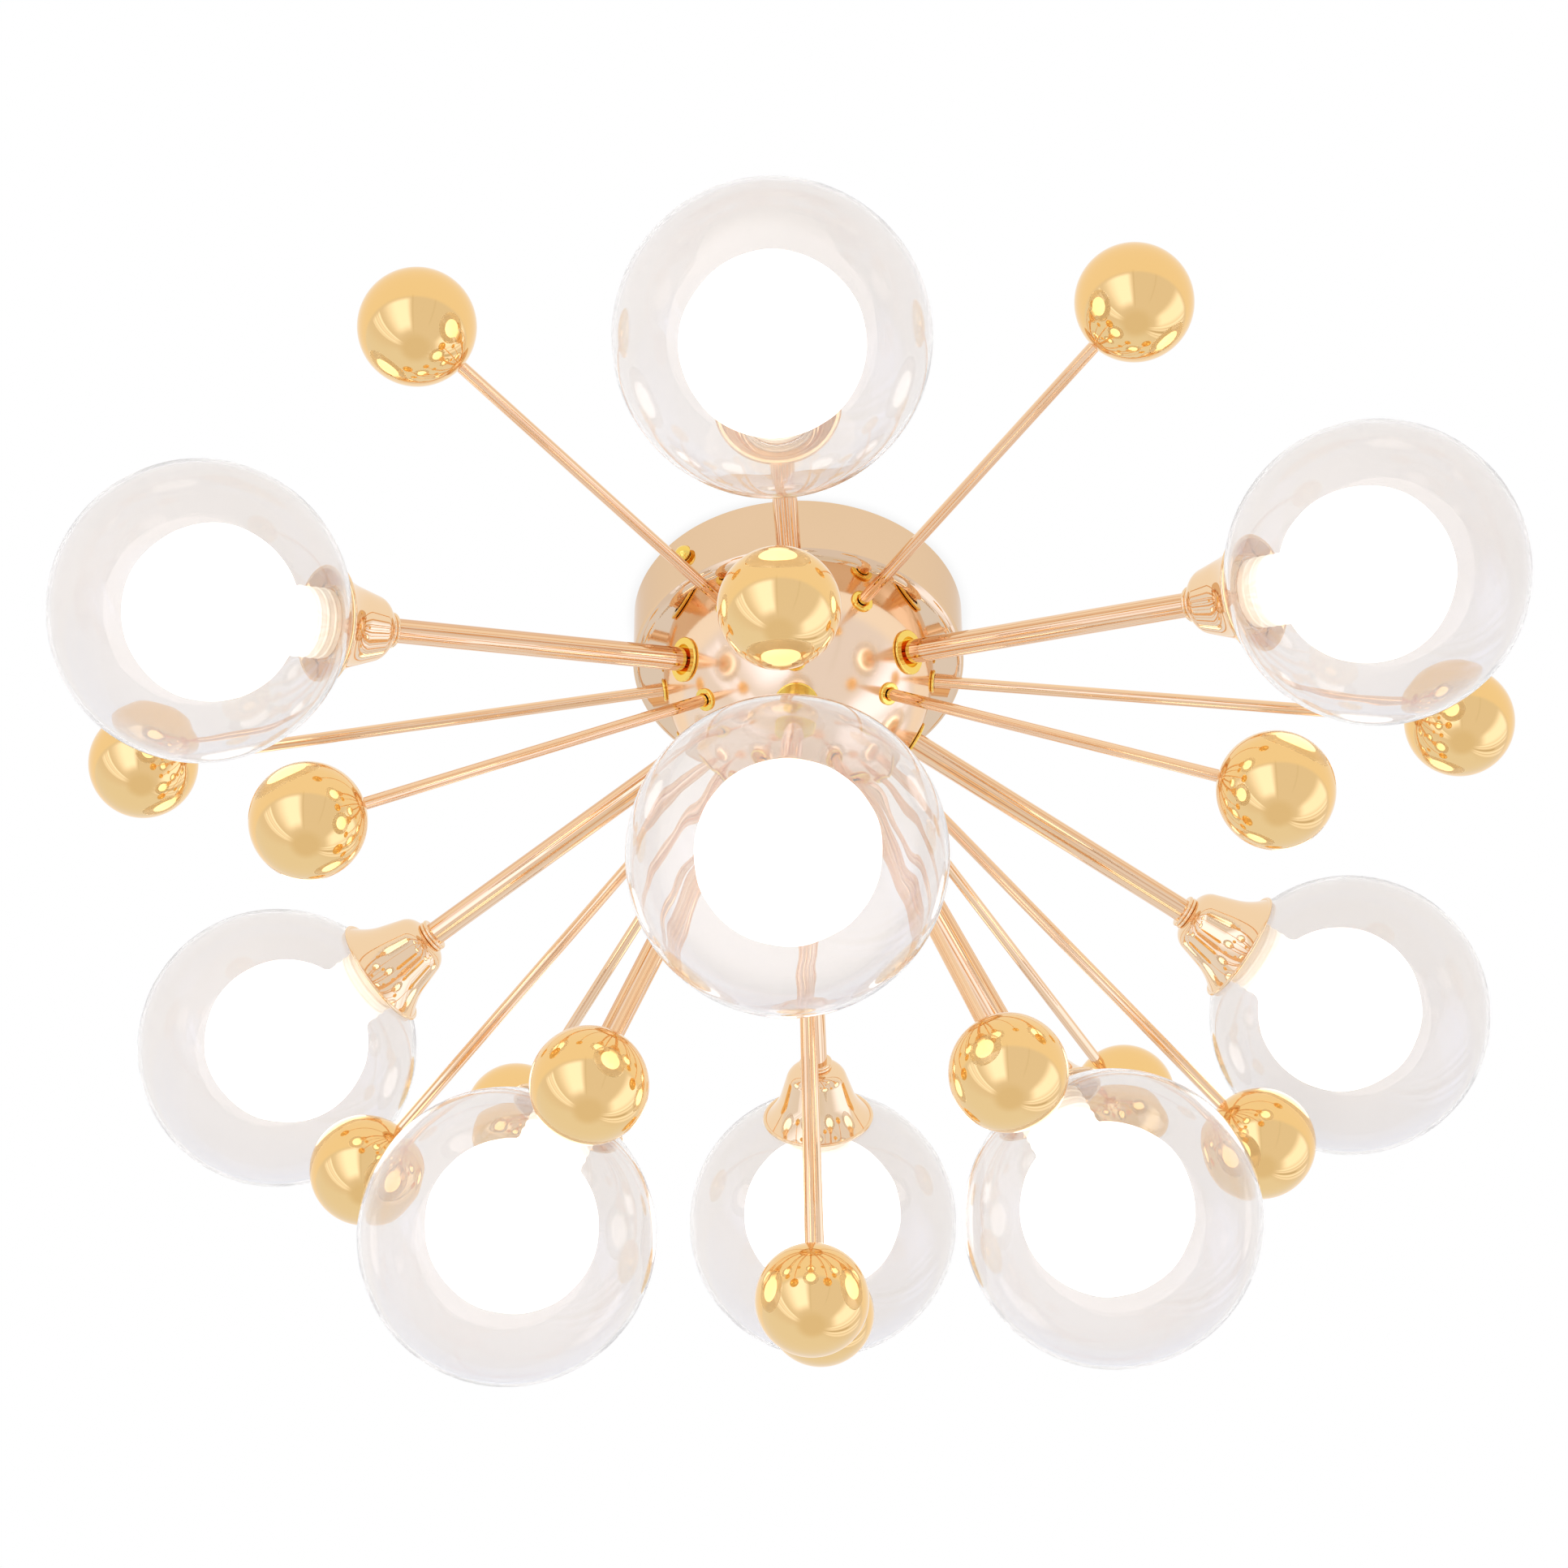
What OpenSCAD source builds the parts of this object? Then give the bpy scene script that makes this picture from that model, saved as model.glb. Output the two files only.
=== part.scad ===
// Flush ceiling light: nine glass lamps and fifteen gold balls on arms that
// fan out from a polished half-dome under a shallow round canopy.
// Units are millimetres and +Z points up. The origin is on the ceiling plane,
// on the lamp's own axis, so the whole light hangs below z = 0.
// Every arm's axis passes through the hub, which is the centre of the dome.

/* [Canopy] */
// Outer diameter of the canopy
canopy_d = 140; // [136:1:150]
// Height of the canopy from the ceiling to its flat underside
canopy_h = 31; // [30:0.5:36]
// Radius of the rounded lower edge of the canopy
canopy_edge_r = 4.5; // [3:0.5:5]
// Sheet thickness of the canopy and the dome
sheet_t = 1.2; // [1:0.1:1.4]

/* [Dome] */
// Outer diameter of the half-dome
dome_d = 114; // [113:1:116]

/* [Arrangement] */
// Angle of the upper ring of lamp arms below the horizontal
upper_lamp_el = 18; // [17:0.5:19]
// Angle of the lower ring of lamp arms below the horizontal
lower_lamp_el = 60; // [59.5:0.5:61]
// Angle of the lower ring's front lamp arm, which stands a little higher
front_lamp_el = 58.4; // [58:0.1:60]
// Angle of the upper ring of ball rods below the horizontal
upper_ball_el = 8.6; // [8.5:0.1:9.5]
// Angle of the middle ring of ball rods below the horizontal
middle_ball_el = 39.5; // [39:0.1:40]
// Angle of the lower ring of ball rods below the horizontal
lower_ball_el = 70.6; // [70:0.1:72]
// Distance from the hub to the centre of each glass globe
lamp_reach = 280.5; // [270:0.5:300]
// Distance from the hub to the centre of each gold ball
ball_reach = 278; // [265:1:300]

/* [Arms and rods] */
// Outer diameter of a lamp arm's tube
arm_d = 10; // [9.5:0.1:10.5]
// Bore of a lamp arm's tube
arm_bore_d = 8; // [7:0.1:8.2]
// Diameter of a ball rod
rod_d = 5; // [4.6:0.1:5.2]
// Diameter of a gold ball
ball_d = 46; // [42:1:50]
// Flange diameter of a lamp arm's bushing
arm_flange_d = 19; // [18:0.5:20]
// Flange diameter of a ball rod's bushing
rod_flange_d = 9.7; // [9.3:0.1:10.2]

/* [Lamps] */
// Outer diameter of the clear glass globe
globe_d = 120; // [118:1:124]
// Wall of the clear glass globe
globe_wall = 1.6; // [1.2:0.1:2]
// Diameter of the frosted inner ball
inner_d = 70; // [66:1:74]
// How far the inner ball sits towards its cup from the globe's centre
inner_shift = 5; // [3:0.5:6]
// Wall of the frosted glass
inner_wall = 1.5; // [1.3:0.1:1.7]
// Outer diameter of the frosted neck
neck_d = 28; // [27.6:0.1:28.2]
// Number of thread ridges on the neck inside the globe
visible_ridges = 4; // [2:1:4]

/* [Bell cup] */
// Length of the bell cup from its base to its lip
cup_len = 27.2; // [27:0.1:27.5]
// Wall of the bell cup
cup_wall = 1.2; // [1:0.1:1.3]

/* [Ceiling fixing] */
// Distance between the two ceiling screw holes in the bracket
bracket_pcd = 80; // [70:2:90]
// Diameter of the ceiling screw holes
bracket_hole_d = 5; // [4.5:0.1:6]
// Direction of the bracket and its two thumb screws, from the front
screw_az = -40; // [-45:1:-35]
// Depth of the thumb screws below the ceiling
screw_drop = 14; // [13:0.5:16]

/* [Part to show] */
// Name of one node, or all

/* [Hidden] */
$fn = 96;
eps = 0.01;

// Colours
CHAMPAGNE = [0.86, 0.72, 0.56];
ROSE = [0.88, 0.70, 0.60];
GOLD = [0.90, 0.70, 0.32];
ZINC = [0.70, 0.71, 0.73];
CLEAR = [0.92, 0.91, 0.92, 0.35];
FROST = [0.97, 0.97, 0.95];
CERAMIC = [0.93, 0.92, 0.88];
PLASTIC = [0.86, 0.87, 0.86];

// Rings of the arrangement
UPPER_LAMPS = 6;
FRONT_LAMP = UPPER_LAMPS + 1;
LOWER_LAMPS = 3;
LAMPS = UPPER_LAMPS + LOWER_LAMPS;
HALF_STEP = 30;
SIXTH = 60;
THIRD = 120;

// Canopy and dome
canopy_r = canopy_d / 2;
hub_z = -canopy_h;
dome_r = dome_d / 2;
dome_inner_r = dome_r - sheet_t;
dome_flange_w = 8;

// Centre nipple and the strap across the dome's rim
nipple_d = 10;
nipple_bore_d = 7.5;
nipple_up = 10;
nipple_down = 9;
nipple_nut_af = 14;
nipple_nut_h = 4;
nipple_play = 0.4;
strap_len = 100;
strap_w = 16;
strap_t = 2;

// Bushings and their locknuts, measured along the arm's axis
flange_t = 1.2;
arm_barrel_d = 15;
arm_barrel_len = 10;
arm_mouth_d = 13;
arm_mouth_depth = 3;
arm_nut_af = 19;
arm_nut_h = 4;
rod_barrel_d = 8;
rod_barrel_len = 7;
rod_mouth_d = 6;
rod_mouth_depth = 2.4;
rod_nut_af = 10;
rod_nut_h = 3;
nut_gap = 0.2;
arm_seat = sqrt(dome_r * dome_r - arm_barrel_d * arm_barrel_d / 4);
rod_seat = sqrt(dome_r * dome_r - rod_barrel_d * rod_barrel_d / 4);
hex_factor = 1 / sqrt(3);
arm_nut_seat = sqrt(pow(dome_inner_r, 2) - pow(arm_nut_af * hex_factor, 2)) - nut_gap;
rod_nut_seat = sqrt(pow(dome_inner_r, 2) - pow(rod_nut_af * hex_factor, 2)) - nut_gap;
arm_start = arm_seat - arm_barrel_len;
rod_start = rod_seat - rod_barrel_len;
rod_in_ball = 9;
ball_wall = 1.2;
ball_boss_d = 10;

// Globe, inner ball and neck, measured along the arm's axis. The cup's lip
// stops just short of the globe.
globe_r = globe_d / 2;
lip_r = 24.6;
lip_gap = 1.2;
cup_at = lamp_reach - sqrt(globe_r * globe_r - lip_r * lip_r) - lip_gap - cup_len;
inner_r = inner_d / 2;
inner_at = lamp_reach - inner_shift;
neck_r = neck_d / 2;
neck_bore_r = neck_r - inner_wall;
neck_in_cup = 14;
neck_end = cup_at + neck_in_cup;
blend_r = 6;
ridge_r = 0.9;
ridge_proud = 0.4;
ridge_pitch = 3.5;
first_visible_ridge = lamp_reach - globe_r + 6.2;
first_hidden_ridge = neck_end + 1.6;
hidden_ridges = 2;
rim_bead_r = 1.1;

// Bell cup, measured from its base. Its outline runs shoulder, cone, flare.
cone_angle = 17.5;
shoulder_r = 8;
shoulder_off = 5.7;
cone_len = 9.6;
flare_r = 27;
cone_dir = [sin(cone_angle), cos(cone_angle)];
cone_out = [cos(cone_angle), -sin(cone_angle)];
shoulder_at = [shoulder_off, shoulder_r];
cone_top = shoulder_at + shoulder_r * cone_out + cone_len * cone_dir;
flare_at = cone_top + flare_r * cone_out;
lip_bead_r = 0.75;
lip_out = flare_at[0] - sqrt(pow(flare_r, 2) - pow(cup_len - flare_at[1], 2));
thread_from = 13.5;
thread_to = 19;
thread_clear = 0.3;
thread_r = neck_r + ridge_proud + thread_clear;
collar_len = 3.2;
collar_ring_r = 0.8;
collar_body_r = 6.4;

// Lamp holder and bulb, measured from the cup's base
holder_foot_r = 6.5;
holder_foot_gap = 0.1;
holder_r = 9;
holder_foot_len = 2.6;
holder_top = 14.5;
tube_in_cup = 4.4;
bulb_r = 7.5;
bulb_len = 42;
pin_d = 1.4;
pin_len = 6;
pin_gap = 7;
pin_play = 0.1;

// Ceiling bracket
bracket_t = 2;
bracket_w = 22;
tab_w = 14;
tab_face_r = 66;
tab_drop = 20;
tap_clear = 0.05;
block_size = [32, 18, 12];
block_well_d = 4;
block_wells = 3;
block_well_pitch = 9;
block_well_depth = 7;
earth_at = 24;
earth_shank_d = 4;
earth_head_d = 8;
earth_head_h = 2.4;
earth_slot_w = 1.2;

// Thumb screws, measured out from the lamp's axis
shank_d = 4;
shank_from = 60;
wall_hole_d = 5;
screw_neck_d = 5.4;
screw_neck_gap = 0.4;
screw_neck_len = 1.2;
screw_head_d = 8;
screw_head_h = 3.2;

// Lamps 1 to 6 are the upper ring and 7 to 9 the lower ring.
function lamp_az(k) = k <= UPPER_LAMPS ? (k - 1) * SIXTH : (k - 1 - UPPER_LAMPS) * THIRD;
function lower_el(k) = k == FRONT_LAMP ? front_lamp_el : lower_lamp_el;
function lamp_el(k) = k <= UPPER_LAMPS ? upper_lamp_el : lower_el(k);

// Turns a piece built along +Z from the hub so that it points out along an arm.
module along(az, el) {
    translate([0, 0, hub_z]) rotate([90 + el, 0, az]) children();
}

module at_lamp(k) {
    along(lamp_az(k), lamp_el(k)) children();
}

module at_every_lamp() {
    for (k = [1 : LAMPS]) at_lamp(k) children();
}

module upper_ball_ring() {
    for (i = [0 : 5]) along(HALF_STEP + i * SIXTH, upper_ball_el) children();
}

module middle_ball_ring() {
    for (i = [0 : 5]) along(i * SIXTH, middle_ball_el) children();
}

module lower_ball_ring() {
    for (i = [0 : 2]) along(SIXTH + i * THIRD, lower_ball_el) children();
}

module every_ball() {
    upper_ball_ring() children();
    middle_ball_ring() children();
    lower_ball_ring() children();
}

// Turns a piece built along +Z so that it points out through the canopy's wall.
module at_screw(az) {
    translate([0, 0, -screw_drop]) rotate([90, 0, az]) children();
}

module tube(d, bore, h) {
    difference() {
        cylinder(d = d, h = h);
        translate([0, 0, -eps]) cylinder(d = bore, h = h + 2 * eps);
    }
}

module hex_nut(af, bore, h) {
    difference() {
        cylinder(r = af * hex_factor, h = h, $fn = 6);
        translate([0, 0, -eps]) cylinder(d = bore, h = h + 2 * eps);
    }
}

// Ceiling fixing

module bracket_bar() {
    translate([-bracket_w / 2, -tab_face_r, -bracket_t])
        cube([bracket_w, 2 * tab_face_r, bracket_t]);
}

module bracket_tab() {
    translate([-tab_w / 2, -tab_face_r, -tab_drop]) cube([tab_w, bracket_t, tab_drop]);
}

module mounting_bracket() {
    color(ZINC) difference() {
        rotate([0, 0, screw_az]) {
            bracket_bar();
            bracket_tab();
            rotate([0, 0, 180]) bracket_tab();
        }
        for (a = [0, 180]) {
            rotate([0, 0, screw_az + a]) translate([0, -bracket_pcd / 2, -bracket_t - eps])
                cylinder(d = bracket_hole_d, h = bracket_t + 2 * eps);
            at_screw(screw_az + a) translate([0, 0, shank_from])
                cylinder(d = shank_d + 2 * tap_clear, h = 2 * tab_w);
        }
        rotate([0, 0, screw_az]) translate([0, -earth_at, -bracket_t - eps])
            cylinder(d = earth_shank_d, h = bracket_t + 2 * eps);
    }
}

module terminal_block() {
    color(PLASTIC) rotate([0, 0, screw_az])
        translate([-block_size[1] / 2, -block_size[0] / 2, -bracket_t - block_size[2]])
        difference() {
            cube([block_size[1], block_size[0], block_size[2]]);
            for (i = [0 : block_wells - 1])
                translate([
                    block_size[1] / 2,
                    block_size[0] / 2 + (i - 1) * block_well_pitch,
                    -eps
                ])
                cylinder(d = block_well_d, h = block_well_depth);
        }
}

module earth_screw() {
    color(GOLD) rotate([0, 0, screw_az]) translate([0, -earth_at, -bracket_t]) {
        difference() {
            translate([0, 0, -earth_head_h]) cylinder(d = earth_head_d, h = earth_head_h);
            translate([-earth_head_d, -earth_slot_w / 2, -earth_head_h - eps])
                cube([2 * earth_head_d, earth_slot_w, earth_slot_w]);
        }
        translate([0, 0, -eps]) cylinder(d = earth_shank_d, h = bracket_t + eps);
    }
}

// A mushroom head on a short neck, with a threaded shank behind it
module thumb_screw() {
    neck_from = canopy_r + screw_neck_gap;
    head_from = neck_from + screw_neck_len;
    cap_r = (pow(screw_head_d / 2, 2) + pow(screw_head_h, 2)) / (2 * screw_head_h);
    translate([0, 0, shank_from]) cylinder(d = shank_d, h = head_from - shank_from);
    translate([0, 0, neck_from]) cylinder(d = screw_neck_d, h = screw_neck_len + eps);
    intersection() {
        translate([0, 0, head_from + screw_head_h - cap_r]) sphere(r = cap_r);
        translate([0, 0, head_from]) cylinder(d = screw_head_d, h = screw_head_h + 1);
    }
}

module thumb_screw_front() {
    color(GOLD) at_screw(screw_az) thumb_screw();
}

module thumb_screw_back() {
    color(GOLD) at_screw(screw_az + 180) thumb_screw();
}

// Canopy and dome

// Half outline of the canopy's space, pulled in by the given inset
module canopy_outline(inset) {
    r = canopy_r - inset;
    edge = canopy_edge_r - inset;
    low = hub_z + inset;
    translate([0, low + edge]) square([r, -low - edge + (inset > 0 ? 1 : 0)]);
    translate([0, low]) square([r - edge, edge + eps]);
    translate([r - edge, low + edge]) circle(r = edge);
}

module canopy() {
    color(CHAMPAGNE) difference() {
        rotate_extrude() difference() {
            canopy_outline(0);
            canopy_outline(sheet_t);
        }
        translate([0, 0, hub_z - eps])
            cylinder(d = nipple_d + nipple_play, h = sheet_t + 2 * eps);
        for (a = [0, 180])
            at_screw(screw_az + a) translate([0, 0, shank_from])
                cylinder(d = wall_hole_d, h = canopy_r);
    }
}

module centre_nipple() {
    color(ZINC) translate([0, 0, hub_z - nipple_down])
        tube(nipple_d, nipple_bore_d, nipple_down + nipple_up);
}

module nipple_nuts() {
    color(ZINC) {
        translate([0, 0, hub_z + sheet_t]) hex_nut(nipple_nut_af, nipple_d, nipple_nut_h);
        translate([0, 0, hub_z - sheet_t - strap_t - nipple_nut_h])
            hex_nut(nipple_nut_af, nipple_d, nipple_nut_h);
    }
}

module dome_strap() {
    color(ZINC) difference() {
        translate([-strap_w / 2, -strap_len / 2, hub_z - sheet_t - strap_t])
            cube([strap_w, strap_len, strap_t]);
        translate([0, 0, hub_z - sheet_t - strap_t - eps])
            cylinder(d = nipple_d, h = strap_t + 2 * eps);
    }
}

module dome_shell() {
    difference() {
        sphere(r = dome_r);
        sphere(r = dome_inner_r);
        cylinder(r = dome_r + 1, h = dome_r + 1);
    }
}

module dome_rim() {
    difference() {
        translate([0, 0, -sheet_t])
            cylinder(r = dome_inner_r + sheet_t / 2, h = sheet_t);
        translate([0, 0, -sheet_t - eps])
            cylinder(r = dome_inner_r - dome_flange_w, h = sheet_t + 2 * eps);
    }
}

module dome() {
    color(ROSE) difference() {
        translate([0, 0, hub_z]) {
            dome_shell();
            dome_rim();
        }
        at_every_lamp() translate([0, 0, arm_start]) cylinder(d = arm_barrel_d, h = dome_r);
        every_ball() translate([0, 0, rod_start]) cylinder(d = rod_barrel_d, h = dome_r);
    }
}

// A flanged bushing: its barrel goes through the dome, and its mouth is wider
// than the tube it holds, which leaves a dark ring around the tube.
module bushing(seat, flange_d, barrel_d, barrel_len, mouth_d, mouth_depth, hold_d) {
    edge_r = flange_t / 2;
    difference() {
        rotate_extrude() {
            translate([0, seat - barrel_len]) square([barrel_d / 2, barrel_len + eps]);
            translate([0, seat]) square([flange_d / 2 - edge_r, flange_t]);
            translate([flange_d / 2 - edge_r, seat + edge_r]) circle(r = edge_r);
        }
        translate([0, 0, seat - barrel_len - eps])
            cylinder(d = hold_d, h = barrel_len + flange_t + 1);
        translate([0, 0, seat + flange_t - mouth_depth])
            cylinder(d = mouth_d, h = mouth_depth + 1);
    }
}

module arm_bushings() {
    color(GOLD) at_every_lamp() bushing(
        arm_seat, arm_flange_d, arm_barrel_d, arm_barrel_len,
        arm_mouth_d, arm_mouth_depth, arm_d
    );
}

module rod_bushings() {
    color(GOLD) every_ball() bushing(
        rod_seat, rod_flange_d, rod_barrel_d, rod_barrel_len,
        rod_mouth_d, rod_mouth_depth, rod_d
    );
}

module arm_locknuts() {
    color(ZINC) at_every_lamp() translate([0, 0, arm_nut_seat - arm_nut_h])
        hex_nut(arm_nut_af, arm_barrel_d, arm_nut_h);
}

module rod_locknuts() {
    color(ZINC) every_ball() translate([0, 0, rod_nut_seat - rod_nut_h])
        hex_nut(rod_nut_af, rod_barrel_d, rod_nut_h);
}

// Ball rods and balls

module rod() {
    rod_end = ball_reach - ball_d / 2 + rod_in_ball;
    translate([0, 0, rod_start]) cylinder(d = rod_d, h = rod_end - rod_start);
}

// A hollow ball with a boss inside that the rod screws through
module ball() {
    near_pole = ball_reach - ball_d / 2;
    difference() {
        union() {
            difference() {
                translate([0, 0, ball_reach]) sphere(d = ball_d);
                translate([0, 0, ball_reach]) sphere(d = ball_d - 2 * ball_wall);
            }
            translate([0, 0, near_pole + ball_wall]) cylinder(
                d = ball_boss_d, h = rod_in_ball - ball_wall
            );
        }
        translate([0, 0, near_pole - 1]) cylinder(d = rod_d, h = rod_in_ball + 2);
    }
}

module rods_upper() {
    color(ROSE) upper_ball_ring() rod();
}

module rods_middle() {
    color(ROSE) middle_ball_ring() rod();
}

module rods_lower() {
    color(ROSE) lower_ball_ring() rod();
}

module balls_upper() {
    color(GOLD) upper_ball_ring() ball();
}

module balls_middle() {
    color(GOLD) middle_ball_ring() ball();
}

module balls_lower() {
    color(GOLD) lower_ball_ring() ball();
}

// Lamp arms and bell cups

module arm() {
    translate([0, 0, arm_start]) tube(arm_d, arm_bore_d, cup_at + tube_in_cup - arm_start);
}

// Half outline of the bell, pulled in from its outer skin by the given inset.
// The shoulder and flare arcs share the cone as their common tangent.
module bell_outline(inset) {
    foot = shoulder_at + (shoulder_r - inset) * cone_out;
    top = flare_at - (flare_r + inset) * cone_out;
    intersection() {
        square([flare_at[0], cup_len + (inset > 0 ? 1 : 0)]);
        union() {
            translate(shoulder_at) circle(r = shoulder_r - inset);
            difference() {
                polygon([
                    [0, inset], [shoulder_off, inset], shoulder_at, foot, top, flare_at,
                    [flare_at[0], cup_len + 1], [0, cup_len + 1]
                ]);
                translate(flare_at) circle(r = flare_r + inset);
            }
        }
    }
}

module cup() {
    bead_at = [lip_out - lip_bead_r, cup_len - lip_bead_r];
    translate([0, 0, cup_at]) difference() {
        rotate_extrude() {
            difference() {
                bell_outline(0);
                bell_outline(cup_wall);
            }
            translate(bead_at) circle(r = lip_bead_r);
            intersection() {
                bell_outline(cup_wall / 2);
                translate([thread_r, thread_from])
                    square([neck_r, thread_to - thread_from]);
            }
        }
        translate([0, 0, -eps]) cylinder(d = arm_d, h = 2 * cup_wall);
    }
}

// A double-beaded ring on the tube, behind the cup
module cup_collar() {
    translate([0, 0, cup_at - collar_len]) rotate_extrude() {
        translate([arm_d / 2, 0]) square([collar_body_r - arm_d / 2, collar_len]);
        for (z = [collar_ring_r, collar_len - collar_ring_r])
            translate([collar_body_r, z]) circle(r = collar_ring_r);
    }
}

module cup_collars() {
    color(ROSE) at_every_lamp() cup_collar();
}

module pin_pair(d, h) {
    for (side = [-1, 1]) translate([side * pin_gap / 2, 0, 0]) cylinder(d = d, h = h);
}

module lamp_holder() {
    translate([0, 0, cup_at]) difference() {
        union() {
            translate([0, 0, cup_wall + holder_foot_gap])
                cylinder(r = holder_foot_r, h = holder_foot_len);
            translate([0, 0, cup_wall + holder_foot_len])
                cylinder(r = holder_r, h = holder_top - cup_wall - holder_foot_len);
        }
        cylinder(d = arm_d, h = tube_in_cup);
        translate([0, 0, holder_top - pin_len - pin_play])
            pin_pair(pin_d + 2 * pin_play, pin_len + 1);
    }
}

module lamp_holders() {
    color(CERAMIC) at_every_lamp() lamp_holder();
}

module bulb() {
    translate([0, 0, cup_at + holder_top]) {
        cylinder(r = bulb_r, h = bulb_len - bulb_r);
        translate([0, 0, bulb_len - bulb_r]) sphere(r = bulb_r);
        translate([0, 0, -pin_len]) pin_pair(pin_d, pin_len + 1);
    }
}

module bulbs() {
    color(FROST) at_every_lamp() bulb();
}

// Glass shade: a clear globe fused around the neck of a frosted inner ball

module globe() {
    rotate_extrude() {
        difference() {
            translate([0, lamp_reach]) circle(r = globe_r);
            translate([0, lamp_reach]) circle(r = globe_r - globe_wall);
            translate([-globe_r, 0]) square([globe_r, 2 * lamp_reach]);
            square([neck_r, lamp_reach]);
        }
        difference() {
            translate([neck_r + rim_bead_r / 2, lamp_reach - sqrt(pow(globe_r - globe_wall / 2, 2)
                - pow(neck_r + rim_bead_r / 2, 2))])
                circle(r = rim_bead_r);
            square([neck_r, lamp_reach]);
        }
    }
}

// Fillet between the neck and the inner ball
module neck_blend() {
    away = neck_r + blend_r;
    reach = inner_r + blend_r;
    low = inner_at - sqrt(reach * reach - away * away);
    touch = [away * inner_r / reach, inner_at - (inner_at - low) * inner_r / reach];
    difference() {
        polygon([
            [neck_bore_r, low], [away, low], touch,
            [neck_bore_r, inner_at - inner_r * cos(asin(neck_bore_r / inner_r)) + inner_wall]
        ]);
        translate([away, low]) circle(r = blend_r);
    }
}

module diffuser() {
    rotate_extrude() {
        difference() {
            union() {
                translate([0, inner_at]) circle(r = inner_r);
                translate([0, neck_end]) square([neck_r, inner_at - neck_end - inner_r / 2]);
                neck_blend();
            }
            translate([0, inner_at]) circle(r = inner_r - inner_wall);
            translate([-inner_r, 0]) square([inner_r, 2 * lamp_reach]);
            square([neck_bore_r, inner_at]);
        }
        for (i = [0 : visible_ridges - 1])
            ridge(first_visible_ridge + i * ridge_pitch);
        for (i = [0 : hidden_ridges - 1])
            ridge(first_hidden_ridge + i * ridge_pitch);
    }
}

module ridge(z) {
    translate([neck_r + ridge_proud - ridge_r, z]) circle(r = ridge_r);
}

// One module per lamp piece

module arm_1() { color(ROSE) at_lamp(1) arm(); }
module arm_2() { color(ROSE) at_lamp(2) arm(); }
module arm_3() { color(ROSE) at_lamp(3) arm(); }
module arm_4() { color(ROSE) at_lamp(4) arm(); }
module arm_5() { color(ROSE) at_lamp(5) arm(); }
module arm_6() { color(ROSE) at_lamp(6) arm(); }
module arm_7() { color(ROSE) at_lamp(7) arm(); }
module arm_8() { color(ROSE) at_lamp(8) arm(); }
module arm_9() { color(ROSE) at_lamp(9) arm(); }

module cup_1() { color(ROSE) at_lamp(1) cup(); }
module cup_2() { color(ROSE) at_lamp(2) cup(); }
module cup_3() { color(ROSE) at_lamp(3) cup(); }
module cup_4() { color(ROSE) at_lamp(4) cup(); }
module cup_5() { color(ROSE) at_lamp(5) cup(); }
module cup_6() { color(ROSE) at_lamp(6) cup(); }
module cup_7() { color(ROSE) at_lamp(7) cup(); }
module cup_8() { color(ROSE) at_lamp(8) cup(); }
module cup_9() { color(ROSE) at_lamp(9) cup(); }

module globe_1() { color(CLEAR) at_lamp(1) globe(); }
module globe_2() { color(CLEAR) at_lamp(2) globe(); }
module globe_3() { color(CLEAR) at_lamp(3) globe(); }
module globe_4() { color(CLEAR) at_lamp(4) globe(); }
module globe_5() { color(CLEAR) at_lamp(5) globe(); }
module globe_6() { color(CLEAR) at_lamp(6) globe(); }
module globe_7() { color(CLEAR) at_lamp(7) globe(); }
module globe_8() { color(CLEAR) at_lamp(8) globe(); }
module globe_9() { color(CLEAR) at_lamp(9) globe(); }

module diffuser_1() { color(FROST) at_lamp(1) diffuser(); }
module diffuser_2() { color(FROST) at_lamp(2) diffuser(); }
module diffuser_3() { color(FROST) at_lamp(3) diffuser(); }
module diffuser_4() { color(FROST) at_lamp(4) diffuser(); }
module diffuser_5() { color(FROST) at_lamp(5) diffuser(); }
module diffuser_6() { color(FROST) at_lamp(6) diffuser(); }
module diffuser_7() { color(FROST) at_lamp(7) diffuser(); }
module diffuser_8() { color(FROST) at_lamp(8) diffuser(); }
module diffuser_9() { color(FROST) at_lamp(9) diffuser(); }

mounting_bracket();
terminal_block();
earth_screw();
thumb_screw_front();
thumb_screw_back();
canopy();
centre_nipple();
nipple_nuts();
dome_strap();
dome();
arm_bushings();
arm_locknuts();
rod_bushings();
rod_locknuts();
rods_upper();
rods_middle();
rods_lower();
balls_upper();
balls_middle();
balls_lower();
arm_1();
arm_2();
arm_3();
arm_4();
arm_5();
arm_6();
arm_7();
arm_8();
arm_9();
cup_1();
cup_2();
cup_3();
cup_4();
cup_5();
cup_6();
cup_7();
cup_8();
cup_9();
globe_1();
globe_2();
globe_3();
globe_4();
globe_5();
globe_6();
globe_7();
globe_8();
globe_9();
diffuser_1();
diffuser_2();
diffuser_3();
diffuser_4();
diffuser_5();
diffuser_6();
diffuser_7();
diffuser_8();
diffuser_9();
cup_collars();
lamp_holders();
bulbs();
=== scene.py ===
"""Multi arm chandelier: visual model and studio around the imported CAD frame.

The object's measures and the camera's place are in millimetres. Materials, the planes of the
room and the lamp are in metres.
"""

import math

import bpy
import numpy as np
from mathutils import Matrix, Vector


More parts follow.
